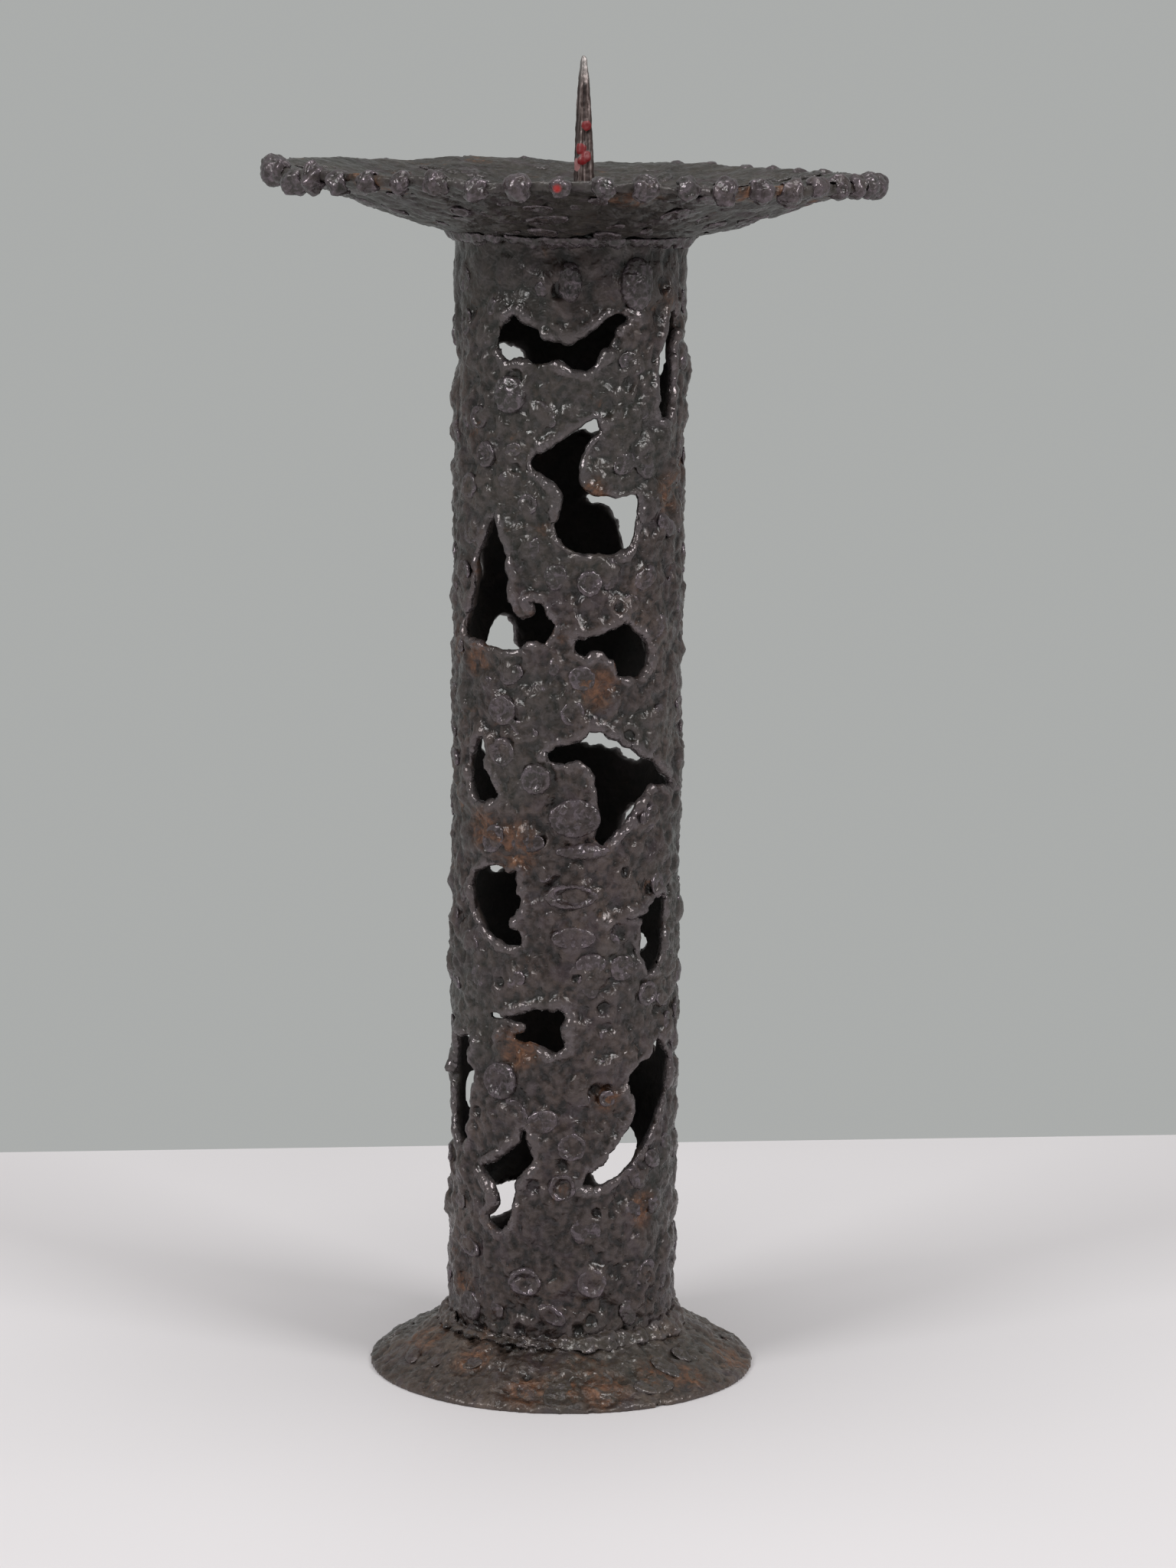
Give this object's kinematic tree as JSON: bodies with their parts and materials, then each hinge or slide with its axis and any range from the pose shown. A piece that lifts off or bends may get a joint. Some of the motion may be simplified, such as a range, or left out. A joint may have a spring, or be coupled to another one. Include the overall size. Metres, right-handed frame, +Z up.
{
  "type": "pricket candlestick",
  "caption": "Tall pierced steel tube on a dished round foot, with a shallow drip pan and an upright spike that holds one pillar candle.",
  "frame": {"origin": "on the table, at the centre of the foot and of the tube", "axes": "+Z up along the tube, -Y towards the front of the picture, +X to its right"},
  "size_m": [0.2066, 0.2065, 0.443],
  "materials": {
    "foot_iron": "dark oxidised mild steel, lumpy and pitted, with brown-orange rust patches",
    "column_iron": "dark grey-brown oxidised mild steel with flame-cut openings",
    "pan_iron": "dark hammered mild steel, rough with weld puddles",
    "spike_steel": "forged steel, browned, with a bright worn tip and traces of red wax",
    "weld_metal": "melted weld metal, dark with a purplish sheen and small bright glints"
  },
  "bodies": {
    "root": {"foot_plate": "foot_iron", "column_tube": "column_iron", "drip_pan": "pan_iron", "pricket": "spike_steel", "foot_weld": "weld_metal", "pan_weld": "weld_metal", "pricket_weld": "weld_metal", "rim_beads": "weld_metal", "upper_column_drops": "weld_metal", "middle_column_drops": "weld_metal", "lower_column_drops": "weld_metal", "pan_underside_drops": "weld_metal", "pan_floor_drops": "weld_metal", "foot_drops": "foot_iron"}
  },
  "joints": []
}
